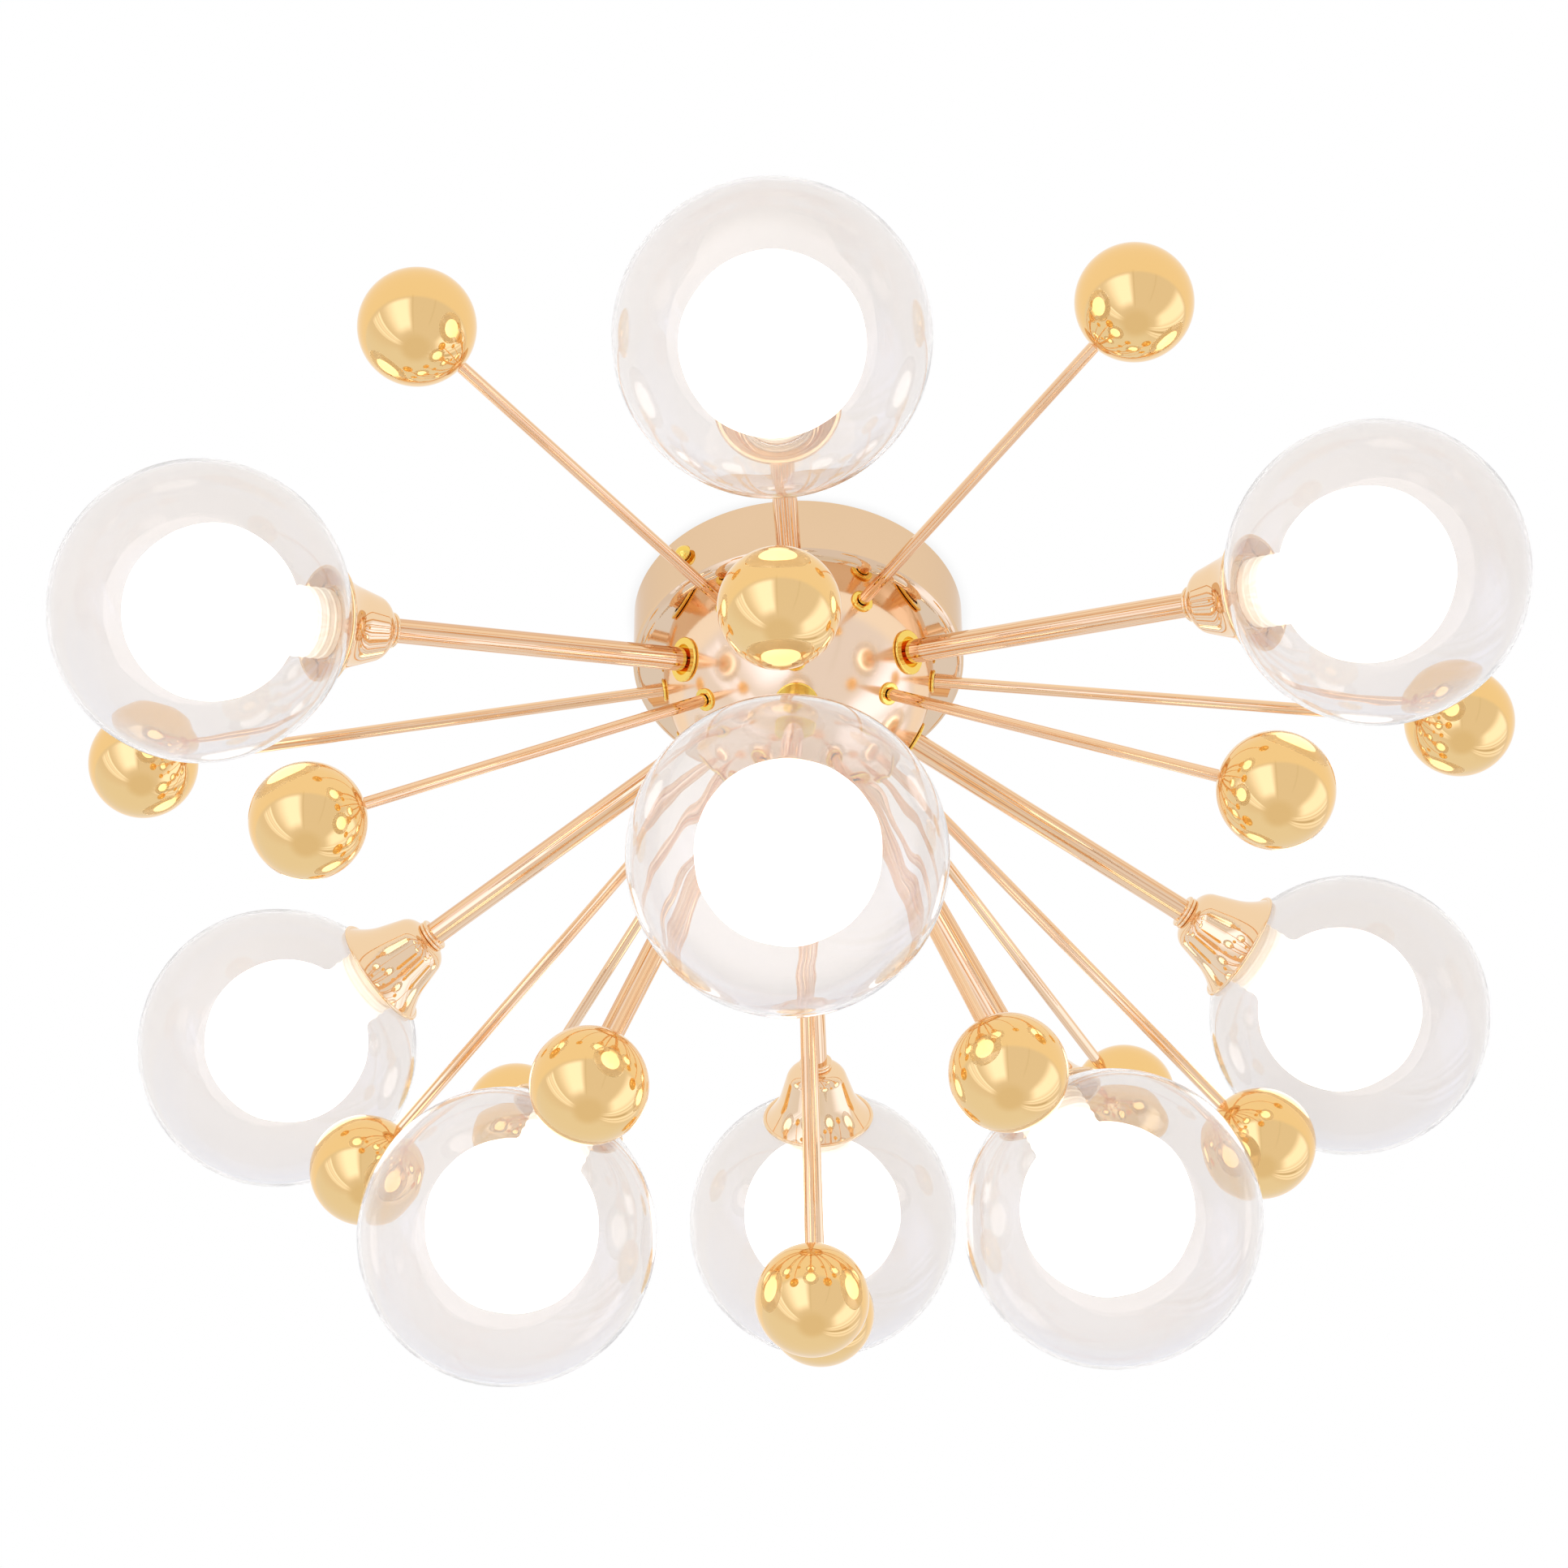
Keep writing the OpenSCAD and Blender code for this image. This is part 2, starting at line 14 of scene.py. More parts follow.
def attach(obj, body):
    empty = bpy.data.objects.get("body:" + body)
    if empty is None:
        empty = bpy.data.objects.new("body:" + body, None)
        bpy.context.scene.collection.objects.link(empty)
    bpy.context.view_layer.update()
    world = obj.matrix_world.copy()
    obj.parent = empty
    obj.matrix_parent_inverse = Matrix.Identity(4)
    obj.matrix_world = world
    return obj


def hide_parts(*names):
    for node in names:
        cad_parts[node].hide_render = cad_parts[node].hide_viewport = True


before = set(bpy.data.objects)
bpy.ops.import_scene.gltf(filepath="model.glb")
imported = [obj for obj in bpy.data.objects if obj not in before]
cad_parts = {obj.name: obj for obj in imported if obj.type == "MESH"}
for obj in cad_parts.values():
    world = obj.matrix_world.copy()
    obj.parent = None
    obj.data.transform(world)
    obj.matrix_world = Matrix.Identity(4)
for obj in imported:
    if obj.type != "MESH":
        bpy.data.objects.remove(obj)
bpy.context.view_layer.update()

MM = 0.001
LOCAL = "local"  # point attribute: a turned piece's own coordinates, its axis along Z
GLOBE_AT, GLOBE_R = 280.5, 60.0  # place along the arm from the dome's centre, and radius

# ---------------------------------------------------------------- turned geometry


class Outline:
    """A half section, drawn with the solid on its left.

    It keeps the exact surface normal at both ends of each step, so that a mirror finish
    reflects as on the true surface.
    """

    def __init__(self, r, z):
        self.points = [(r, z)]
        self.normals = []

    def to(self, r, z):
        """A straight step."""
        r0, z0 = self.points[-1]
        length = math.hypot(r - r0, z - z0)
        normal = ((z - z0) / length, (r0 - r) / length)
        self.points.append((r, z))
        self.normals.append((normal, normal))
        return self

    def arc(self, r, z, radius, start, end, steps):
        """Steps round (r, z) from one angle to another, in degrees from the +r direction."""
        side = 1 if end > start else -1
        turns = [math.radians(start + (end - start) * i / steps) for i in range(steps + 1)]
        for a, b in zip(turns, turns[1:]):
            self.points.append((r + radius * math.cos(b), z + radius * math.sin(b)))
            self.normals.append(
                (
                    (side * math.cos(a), side * math.sin(a)),
                    (side * math.cos(b), side * math.sin(b)),
                )
            )
        return self


def revolve(outline, segments):
    """(vertices, faces, one normal per face corner) of an outline turned about Z."""
    tiny = 1e-6
    points = [(0.0 if abs(r) < tiny else r, z) for r, z in outline.points]
    closed = math.dist(points[0], points[-1]) < tiny
    rings = []
    vertices = []
    angles = [2 * math.pi * j / segments for j in range(segments)]
    turned = [(math.cos(a), math.sin(a)) for a in angles]
    for r, z in points[:-1] if closed else points:
        start = len(vertices)
        if r:
            vertices += [(r * c, r * s, z) for c, s in turned]
            rings.append([start + j for j in range(segments)])
        else:
            vertices.append((0.0, 0.0, z))
            rings.append([start] * segments)
    if closed:
        rings.append(rings[0])
    faces = []
    normals = []
    for i, (low, high) in enumerate(outline.normals):
        on_axis = points[i][0] == 0, points[i + 1][0] == 0
        if all(on_axis):
            continue
        for j in range(segments):
            k = (j + 1) % segments
            corners = [
                (rings[i][j], low, j),
                (rings[i][k], low, k),
                (rings[i + 1][k], high, k),
                (rings[i + 1][j], high, j),
            ]
            if on_axis[0]:
                del corners[0]
            elif on_axis[1]:
                del corners[2]
            faces.append([v for v, _, _ in corners])
            normals += [(n[0] * turned[t][0], n[0] * turned[t][1], n[1]) for _, n, t in corners]
    return np.array(vertices), faces, np.array(normals)


def turned_piece(name, node, body, slot, shape, places):
    """One mesh with a copy of the revolved shape at each place, standing for a CAD node."""
    vertices, faces, normals = shape
    every_vertex = []
    every_face = []
    every_normal = []
    for n, place in enumerate(places):
        move = np.array(place)
        every_vertex.append((vertices @ move[:3, :3].T + move[:3, 3]) * MM)
        every_face += [[v + n * len(vertices) for v in face] for face in faces]
        every_normal.append(normals @ move[:3, :3].T)
    mesh = bpy.data.meshes.new(name)
    mesh.from_pydata(np.concatenate(every_vertex).tolist(), [], every_face)
    mesh.polygons.foreach_set("use_smooth", [True] * len(every_face))
    own = mesh.attributes.new(LOCAL, "FLOAT_VECTOR", "POINT")
    own.data.foreach_set("vector", np.tile(vertices * MM, (len(places), 1)).ravel())
    mesh.materials.append(SLOT_MATERIAL[slot])
    mesh.update()
    mesh.normals_split_custom_set(np.concatenate(every_normal).tolist())
    piece = bpy.data.objects.new(name, mesh)
    bpy.context.scene.collection.objects.link(piece)
    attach(piece, body)
    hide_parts(node)


# ---------------------------------------------------------------- node trees


def put(tree, kind, inputs=None, **settings):
    """A node with its settings and inputs made. An input is a value, or a socket to link."""
    made = tree.nodes.new(kind)
    for key, value in settings.items():
        setattr(made, key, value)
    for key, value in (inputs or {}).items():
        if isinstance(value, bpy.types.NodeSocket):
            tree.links.new(value, made.inputs[key])
        else:
            made.inputs[key].default_value = value
    return made


def math_node(tree, operation, *values):
    return put(
        tree, "ShaderNodeMath", dict(enumerate(values)), operation=operation
    ).outputs[0]


def ramp(tree, value, start, end, low=0.0, high=1.0):
    """A smooth step of value from low at start to high at end."""
    inputs = {
        "Value": value,
        "From Min": start,
        "From Max": end,
        "To Min": low,
        "To Max": high,
    }
    made = put(tree, "ShaderNodeMapRange", inputs, interpolation_type="SMOOTHSTEP")
    return made.outputs["Result"]


def band(tree, value, low, high, soft_low, soft_high):
    """1 between low and high, falling smoothly to 0 outside over the soft widths."""
    rise = ramp(tree, value, low - soft_low, low)
    fall = ramp(tree, value, high, high + soft_high, 1.0, 0.0)
    return math_node(tree, "MULTIPLY", rise, fall)


def mix_colour(tree, factor, a, b):
    made = put(tree, "ShaderNodeMix", data_type="RGBA")
    for key, value in ((0, factor), (6, a), (7, b)):
        if isinstance(value, bpy.types.NodeSocket):
            tree.links.new(value, made.inputs[key])
        else:
            made.inputs[key].default_value = value if key == 0 else (*value, 1.0)
    return made.outputs[2]


def new_material(name):
    material = bpy.data.materials.new(name)
    material.use_nodes = True
    material.node_tree.nodes.clear()
    return material, material.node_tree


def finish_material(tree, shader):
    put(tree, "ShaderNodeOutputMaterial", {"Surface": shader})


def object_noise(tree, scale, detail, seed):
    """Noise over the piece's own coordinates, which move with it."""
    coords = put(tree, "ShaderNodeTexCoord").outputs["Object"]
    noise = put(
        tree,
        "ShaderNodeTexNoise",
        {"Vector": coords, "W": seed, "Scale": scale, "Detail": detail},
        noise_dimensions="4D",
    )
    return noise.outputs["Fac"]


def painted_streak_lines(tree, scale, seed):
    """Noise that changes around a piece's own axis and not along it: painted reflection streaks
    along a tube.
    """
    own = put(tree, "ShaderNodeAttribute", attribute_name=LOCAL).outputs["Vector"]
    around = put(
        tree, "ShaderNodeVectorMath", {0: own, 1: (1.0, 1.0, 0.0)}, operation="MULTIPLY"
    ).outputs[0]
    noise = put(
        tree,
        "ShaderNodeTexNoise",
        {"Vector": around, "W": seed, "Scale": scale, "Detail": 1.0},
        noise_dimensions="4D",
    )
    return noise.outputs["Fac"]


def plated(name, colour, cast, roughness, seed, edge=(1.0, 1.0, 1.0), streak=None):
    """Polished plating: its tint drifts between two colours and its gloss is uneven.

    edge is its tint at grazing angles. A tube also has fine lines along it in the streak
    colour: painted reflection streaks, the room mirrored lengthwise in the polished tube.
    """
    material, tree = new_material(name)
    drift = object_noise(tree, scale=24.0, detail=2.0, seed=seed)
    tint = mix_colour(tree, drift, colour, cast)
    if streak:
        # Painted reflection streaks: darker lines along the tube stand in for the room mirrored
        # in its polish.
        lines = painted_streak_lines(tree, scale=800.0, seed=seed + 2)
        tint = mix_colour(tree, ramp(tree, lines, 0.42, 0.66), tint, streak)
    uneven = object_noise(tree, scale=40.0, detail=1.0, seed=seed + 1)
    inputs = {
        "Base Color": tint,
        "Metallic": 1.0,
        "Specular Tint": (*edge, 1.0),
        "Roughness": ramp(tree, uneven, 0.3, 0.75, roughness * 0.85, roughness * 1.15),
    }
    finish_material(tree, put(tree, "ShaderNodeBsdfPrincipled", inputs).outputs[0])
    return material


def clear_glass():
    """Blown clear glass: its tint drifts, and its outer surface waves where it faces the eye.

    Shadow and diffuse rays pass straight through.
    """
    material, tree = new_material("blown_clear_glass")
    drift = ramp(tree, object_noise(tree, scale=18.0, detail=1.0, seed=11.0), 0.3, 0.7)
    own = put(tree, "ShaderNodeAttribute", attribute_name=LOCAL).outputs["Vector"]
    centre = (0.0, 0.0, GLOBE_AT * MM)
    from_centre = put(
        tree, "ShaderNodeVectorMath", {0: own, 1: centre}, operation="DISTANCE"
    ).outputs["Value"]
    outside = ramp(tree, from_centre, (GLOBE_R - 1.0) * MM, (GLOBE_R - 0.5) * MM)
    facing = put(tree, "ShaderNodeLayerWeight", {"Blend": 0.5}).outputs["Facing"]
    strength = math_node(tree, "MULTIPLY", outside, ramp(tree, facing, 0.1, 0.5, 1.0, 0.0))
    waves = object_noise(tree, scale=38.0, detail=1.0, seed=12.0)
    uneven = put(
        tree, "ShaderNodeBump", {"Strength": strength, "Distance": 0.0005, "Height": waves}
    )
    inputs = {
        "Base Color": mix_colour(tree, drift, (0.876, 0.848, 0.824), (0.892, 0.862, 0.838)),
        "Roughness": 0.0,
        "IOR": 1.47,
        "Transmission Weight": 0.94,
        "Specular Tint": (0.87, 0.83, 0.79, 1.0),
        "Normal": uneven.outputs[0],
    }
    glass = put(tree, "ShaderNodeBsdfPrincipled", inputs).outputs[0]
    path = put(tree, "ShaderNodeLightPath").outputs
    straight = math_node(tree, "MAXIMUM", path["Is Shadow Ray"], path["Is Diffuse Ray"])
    open_way = put(
        tree, "ShaderNodeBsdfTransparent", {"Color": (0.97, 0.965, 0.96, 1.0)}
    ).outputs[0]
    mixed = put(tree, "ShaderNodeMixShader", {0: straight, 1: glass, 2: open_way})
    finish_material(tree, mixed.outputs[0])
    return material


def opal_glass():
    """Lit opal glass: the ball glows white, and its ridged neck glows less and warmer, with a
    darker, warmer colour painted on it as shade and the cup's warm light.
    """
    material, tree = new_material("lit_opal_glass")
    own = put(tree, "ShaderNodeAttribute", attribute_name=LOCAL).outputs["Vector"]
    along_axis = put(tree, "ShaderNodeSeparateXYZ", {0: own}).outputs["Z"]
    neck_z, glow_z, ball_z = 0.227, 0.229, 0.247  # along the arm from the dome's centre
    ball = ramp(tree, along_axis, neck_z, ball_z)
    cloud = object_noise(tree, scale=60.0, detail=3.0, seed=21.0)
    glow = mix_colour(tree, ball, (1.0, 0.86, 0.64), (1.0, 0.985, 0.95))
    power = ramp(tree, along_axis, glow_z, ball_z, 0.25, 1.6)
    power = math_node(tree, "MULTIPLY", power, ramp(tree, cloud, 0.2, 0.8, 0.97, 1.0))
    grit = object_noise(tree, scale=2500.0, detail=2.0, seed=22.0)
    bump = put(
        tree, "ShaderNodeBump", {"Strength": 0.15, "Distance": 0.00003, "Height": grit}
    )
    gloss = object_noise(tree, scale=300.0, detail=3.0, seed=23.0)
    inputs = {
        # The neck's darker, warmer base colour is painted shade and the cup's warm light.
        "Base Color": mix_colour(tree, ball, (0.80, 0.70, 0.54), (0.93, 0.925, 0.91)),
        "Roughness": ramp(tree, gloss, 0.3, 0.7, 0.38, 0.5),
        "IOR": 1.5,
        "Emission Color": glow,
        "Emission Strength": power,
        "Normal": bump.outputs[0],
    }
    finish_material(tree, put(tree, "ShaderNodeBsdfPrincipled", inputs).outputs[0])
    return material


def solid_finish(name, dark, light, roughness, scale, depth, metallic, seed):
    """A plain hidden part's finish: mottled colour, uneven gloss and a fine raised grain."""
    material, tree = new_material(name)
    mottle = object_noise(tree, scale, detail=5.0, seed=seed)
    height = object_noise(tree, scale * 4, detail=3.0, seed=seed + 1)
    bump = put(
        tree, "ShaderNodeBump", {"Strength": 0.4, "Distance": depth, "Height": height}
    )
    inputs = {
        "Base Color": mix_colour(tree, ramp(tree, mottle, 0.3, 0.7), dark, light),
        "Metallic": metallic,
        "Roughness": ramp(tree, mottle, 0.25, 0.75, roughness * 0.8, roughness * 1.25),
        "Normal": bump.outputs[0],
    }
    finish_material(tree, put(tree, "ShaderNodeBsdfPrincipled", inputs).outputs[0])
    return material


champagne = plated(
    "polished_champagne",
    (0.80, 0.57, 0.35),
    (0.83, 0.59, 0.38),
    roughness=0.04,
    seed=1.0,
    edge=(0.86, 0.80, 0.74),
)
rose_dome = plated(
    "satin_rose_gold",
    (0.95, 0.70, 0.48),
    (0.96, 0.70, 0.46),
    roughness=0.14,
    seed=7.0,
    edge=(0.95, 0.85, 0.75),
)
SLOT_MATERIAL = {
    "rose_metal": plated(
        "polished_rose_gold", (0.91, 0.67, 0.42), (0.92, 0.66, 0.40), roughness=0.03, seed=5.0
    ),
    # Its streak colour is painted reflection streaks along the tube.
    "rose_tube": plated(
        "rose_gold_painted_streaks",
        (0.94, 0.66, 0.41),
        (0.95, 0.66, 0.39),
        roughness=0.03,
        seed=9.0,
        streak=(0.77, 0.45, 0.24),
    ),
    "gold_shell": plated(
        "polished_gold_ball", (0.92, 0.60, 0.23), (0.93, 0.61, 0.26), roughness=0.04, seed=13.0
    ),
    "gold_metal": plated(
        "turned_yellow_gold", (0.95, 0.68, 0.16), (0.94, 0.64, 0.13), roughness=0.06, seed=17.0
    ),
    "clear_glass": clear_glass(),
    "frosted_glass": opal_glass(),
}
zinc = solid_finish(
    "zinc_plated_steel",
    (0.42, 0.43, 0.44),
    (0.66, 0.67, 0.68),
    roughness=0.34,
    scale=180.0,
    depth=0.00003,
    metallic=1.0,
    seed=31.0,
)
block = solid_finish(
    "ivory_terminal_plastic",
    (0.72, 0.69, 0.60),
    (0.79, 0.76, 0.68),
    roughness=0.42,
    scale=260.0,
    depth=0.00003,
    metallic=0.0,
    seed=33.0,
)
ceramic = solid_finish(
    "white_ceramic",
    (0.78, 0.77, 0.74),
    (0.88, 0.87, 0.84),
    roughness=0.30,
    scale=320.0,
    depth=0.00002,
    metallic=0.0,
    seed=35.0,
)
brass = solid_finish(
    "brass_earth_screw",
    (0.60, 0.43, 0.16),
    (0.78, 0.58, 0.26),
    roughness=0.28,
    scale=240.0,
    depth=0.00002,
    metallic=1.0,
    seed=37.0,
)
bulb_glass = solid_finish(
    "frosted_bulb_glass",
    (0.86, 0.85, 0.82),
    (0.93, 0.92, 0.89),
    roughness=0.45,
    scale=500.0,
    depth=0.00002,
    metallic=0.0,
    seed=39.0,
)

# ---------------------------------------------------------------- where pieces stand

# Angles are in degrees: azimuth from the front (-Y) towards +X, and elevation below the level.
HUB = Vector((0.0, 0.0, -31.0))
UPPER_LAMPS, LOWER_LAMPS = 6, 3
FRONT_LAMP = UPPER_LAMPS + 1
UPPER_LAMP_EL, LOWER_LAMP_EL, FRONT_LAMP_EL = 18.0, 60.0, 58.4
BALL_RINGS = {  # (azimuth, elevation) of each rod
    "upper": [(30 + 60 * i, 8.6) for i in range(6)],
    "middle": [(60 * i, 39.5) for i in range(6)],
    "lower": [(60 + 120 * i, 70.6) for i in range(3)],
}
SCREW_AZ, SCREW_DROP = -40.0, 14.0


def along(az, el):
    """Turns a piece drawn along +Z to point out of the dome's centre."""
    turn = Matrix.Rotation(math.radians(az), 4, "Z")
    tilt = Matrix.Rotation(math.radians(90 + el), 4, "X")
    return Matrix.Translation(HUB) @ turn @ tilt


def lamp_place(k):
    """Lamps count from 1: the upper ring from the front, then the lower ring from the front."""
    if k <= UPPER_LAMPS:
        return along((k - 1) * 360 / UPPER_LAMPS, UPPER_LAMP_EL)
    el = FRONT_LAMP_EL if k == FRONT_LAMP else LOWER_LAMP_EL
    return along((k - FRONT_LAMP) * 360 / LOWER_LAMPS, el)


def screw_place(az):
    """Turns a thumb screw drawn along +Z to point level out of the canopy's wall."""
    turn = Matrix.Rotation(math.radians(az), 4, "Z")
    return Matrix.Translation((0, 0, -SCREW_DROP)) @ turn @ Matrix.Rotation(math.pi / 2, 4, "X")


lamp_places = {k: lamp_place(k) for k in range(1, UPPER_LAMPS + LOWER_LAMPS + 1)}
ball_places = {ring: [along(*p) for p in spots] for ring, spots in BALL_RINGS.items()}

# ---------------------------------------------------------------- shapes

# Places along an arm or a rod are measured from the dome's centre.
DOME_R = 57.0
ARM_R, ARM_BORE_R, ARM_IN_CUP = 5.0, 4.0, 4.4
ARM_BARREL_R, ARM_BARREL_LEN = 7.5, 10.0
ROD_R, ROD_END = 2.5, 264.0
ROD_BARREL_R, ROD_BARREL_LEN = 4.0, 7.0
BALL_AT, BALL_R, BALL_WALL = 278.0, 23.0, 1.2
OPAL_AT, OPAL_R, OPAL_WALL = 275.5, 35.0, 1.5
NECK_R, NECK_IN_CUP = 14.0, 14.0
GLOBE_WALL = 1.6
CUP_LEN, CUP_MOUTH_R, LIP_GAP = 27.2, 24.6, 1.2
CUP_AT = GLOBE_AT - math.sqrt(GLOBE_R**2 - CUP_MOUTH_R**2) - LIP_GAP - CUP_LEN


def seat(barrel_r):
    """Where a flange sits, which is where its barrel meets the dome's outside."""
    return math.sqrt(DOME_R**2 - barrel_r**2)


def on_sphere(radius, r):
    """Angle at which a sphere's outline, low side, is r from the axis."""
    return math.degrees(math.asin(r / radius)) - 90


def arm_shape():
    start = seat(ARM_BARREL_R) - ARM_BARREL_LEN
    end = CUP_AT + ARM_IN_CUP
    outline = Outline(ARM_R, start).to(ARM_R, end).to(ARM_BORE_R, end)
    return revolve(outline.to(ARM_BORE_R, start).to(ARM_R, start), segments=64)


def rod_shape():
    start = seat(ROD_BARREL_R) - ROD_BARREL_LEN
    outline = Outline(0, start).to(ROD_R, start).to(ROD_R, ROD_END).to(0, ROD_END)
    return revolve(outline, segments=48)


def ball_shape():
    """A hollow ball with a boss inside, which holds the rod's end."""
    boss_r = 5.0
    inner = BALL_R - BALL_WALL
    mouth = BALL_AT - math.sqrt(BALL_R**2 - ROD_R**2)
    outline = Outline(ROD_R, mouth)
    outline.arc(0, BALL_AT, BALL_R, on_sphere(BALL_R, ROD_R), 90, 56)
    outline.to(0, BALL_AT + inner).arc(0, BALL_AT, inner, 90, on_sphere(inner, boss_r), 32)
    outline.to(boss_r, ROD_END).to(ROD_R, ROD_END).to(ROD_R, mouth)
    return revolve(outline, segments=96)


def bushing_shape(hold_r, barrel_r, barrel_len, flange_r, mouth_r, mouth_depth):
    """A flanged bush round an arm or rod. Its barrel goes through the dome."""
    flange_t = 1.2
    edge = flange_t / 2
    base = seat(barrel_r)
    low, face = base - barrel_len, base + flange_t
    outline = Outline(hold_r, low).to(barrel_r, low).to(barrel_r, base)
    outline.to(flange_r - edge, base).arc(flange_r - edge, base + edge, edge, -90, 90, 12)
    outline.to(mouth_r, face).to(mouth_r, face - mouth_depth)
    outline.to(hold_r, face - mouth_depth).to(hold_r, low)
    return revolve(outline, segments=64)


def cup_shape():
    """A bell: a round shoulder, a leaning cone and a flare that ends in a bead.

    The land is the narrow step inside, in which the neck's ridges turn.
    """
    lean = 17.5
    wall = 1.2
    shoulder_r, shoulder_z, cone_len, flare_r = 8.0, 8.0, 9.6, 27.0
    shoulder_off = 5.7
    out = math.cos(math.radians(lean)), -math.sin(math.radians(lean))
    up = -out[1], out[0]
    cone_top = (
        shoulder_off + shoulder_r * out[0] + cone_len * up[0],
        shoulder_z + shoulder_r * out[1] + cone_len * up[1],
    )
    flare = cone_top[0] + flare_r * out[0], cone_top[1] + flare_r * out[1]
    bead_r = 0.75
    lip_out = flare[0] - math.sqrt(flare_r**2 - (CUP_LEN - flare[1]) ** 2)
    bead = lip_out - bead_r, CUP_LEN - bead_r
    bead_from, flare_to = -141.5, 134.2
    inner_flare = flare_r + wall
    inner_lip = 180 - math.degrees(math.asin((CUP_LEN - flare[1]) / inner_flare))
    lip_in = flare[0] + inner_flare * math.cos(math.radians(inner_lip))
    land_r, land_top, land_low = 14.7, 19.0, 13.94
    land_turn = 180 - math.degrees(math.asin((land_top - flare[1]) / inner_flare))
    foot_r = shoulder_r - wall
    outline = Outline(ARM_R, 0).to(shoulder_off, 0)
    outline.arc(shoulder_off, shoulder_z, shoulder_r, -90, -lean, 20).to(*cone_top)
    outline.arc(*flare, flare_r, 180 - lean, flare_to, 28).arc(*bead, bead_r, bead_from, 90, 14)
    outline.to(lip_in, CUP_LEN).arc(*flare, inner_flare, inner_lip, land_turn, 16)
    outline.to(land_r, land_top).to(land_r, land_low)
    outline.to(shoulder_off + foot_r * out[0], shoulder_z + foot_r * out[1])
    outline.arc(shoulder_off, shoulder_z, foot_r, -lean, -90, 16).to(ARM_R, wall).to(ARM_R, 0)
    outline.points = [(r, z + CUP_AT) for r, z in outline.points]
    return revolve(outline, segments=96)


def collar_shape():
    """Two rounded rings side by side."""
    body_r, ring_r, length = 6.4, 0.8, 3.2
    low = CUP_AT - length
    outline = Outline(ARM_R, low).to(body_r, low).arc(body_r, low + ring_r, ring_r, -90, 90, 14)
    outline.arc(body_r, low + length - ring_r, ring_r, -90, 90, 14)
    return revolve(outline.to(ARM_R, CUP_AT).to(ARM_R, low), segments=64)


def globe_shape():
    """A thin clear ball, its open mouth rolled into a bead.

    The bead's arcs stop where they meet the neck and the wall.
    """
    bead_r = 1.1
    bead_off = NECK_R + bead_r / 2
    bead = bead_off, GLOBE_AT - math.sqrt((GLOBE_R - GLOBE_WALL / 2) ** 2 - bead_off**2)
    bead_low, bead_out, bead_in, bead_high = -120, -30, 61.8, 120
    outer_from, inner_from = 15.5, 15.07
    inner = GLOBE_R - GLOBE_WALL
    start = NECK_R, bead[1] - math.sqrt(bead_r**2 - (bead_off - NECK_R) ** 2)
    outline = Outline(*start).arc(*bead, bead_r, bead_low, bead_out, 8)
    outline.arc(0, GLOBE_AT, GLOBE_R, on_sphere(GLOBE_R, outer_from), 90, 120)
    outline.to(0, GLOBE_AT + inner)
    outline.arc(0, GLOBE_AT, inner, 90, on_sphere(inner, inner_from), 120)
    outline.arc(*bead, bead_r, bead_in, bead_high, 6).to(*start)
    return revolve(outline, segments=216)


def opal_shape():
    """The inner ball on its neck, with two ridges hidden in the cup and four in view."""
    fillet_r = 6.0
    bore_r = NECK_R - OPAL_WALL
    low = CUP_AT + NECK_IN_CUP
    ridge_r, proud, pitch = 0.9, 0.4, 3.5
    first_hidden, first_seen = low + 1.6, GLOBE_AT - GLOBE_R + 6.2
    ridge_in = NECK_R + proud - ridge_r
    ridge_turn = math.degrees(math.acos((NECK_R - ridge_in) / ridge_r))
    ridge_half = ridge_r * math.sin(math.radians(ridge_turn))
    ridges = [first_hidden + pitch * i for i in range(2)]
    ridges += [first_seen + pitch * i for i in range(4)]
    away, reach = NECK_R + fillet_r, OPAL_R + fillet_r
    fillet_z = OPAL_AT - math.sqrt(reach**2 - away**2)
    touch = math.degrees(math.atan2(OPAL_AT - fillet_z, -away))
    inner = OPAL_R - OPAL_WALL
    outline = Outline(bore_r, low).to(NECK_R, low)
    for z in ridges:
        outline.to(NECK_R, z - ridge_half)
        outline.arc(ridge_in, z, ridge_r, -ridge_turn, ridge_turn, 8)
    outline.to(NECK_R, fillet_z).arc(away, fillet_z, fillet_r, 180, touch, 10)
    outline.arc(0, OPAL_AT, OPAL_R, touch - 180, 90, 64)
    outline.to(0, OPAL_AT + inner).arc(0, OPAL_AT, inner, 90, on_sphere(inner, bore_r), 40)
    return revolve(outline.to(bore_r, low), segments=96)


def knob_shape():
    """A thumb screw: its shank, a short neck and a domed head.

    It is measured from the light's own axis.
    """
    shank_r, neck_r, head_r = 2.0, 2.7, 4.0
    start, neck_z, head_z, cap_r, cap_z = 60.0, 70.4, 71.6, 4.1, 70.7
    rim = math.degrees(math.asin((head_z - cap_z) / cap_r))
    outline = Outline(0, start).to(shank_r, start).to(shank_r, neck_z).to(neck_r, neck_z)
    outline.to(neck_r, head_z).to(head_r, head_z).arc(0, cap_z, cap_r, rim, 90, 20)
    return revolve(outline, segments=64)


# ---------------------------------------------------------------- pieces

arm, cup, globe, opal = arm_shape(), cup_shape(), globe_shape(), opal_shape()
for k, place in lamp_places.items():
    turned_piece(f"arm_tube_{k}", f"arm_{k}", "fixture", "rose_tube", arm, [place])
    turned_piece(f"bell_cup_{k}", f"cup_{k}", "fixture", "rose_metal", cup, [place])
    turned_piece(f"clear_globe_{k}", f"globe_{k}", f"shade_{k}", "clear_glass", globe, [place])
    turned_piece(f"opal_ball_{k}", f"diffuser_{k}", f"shade_{k}", "frosted_glass", opal, [place])

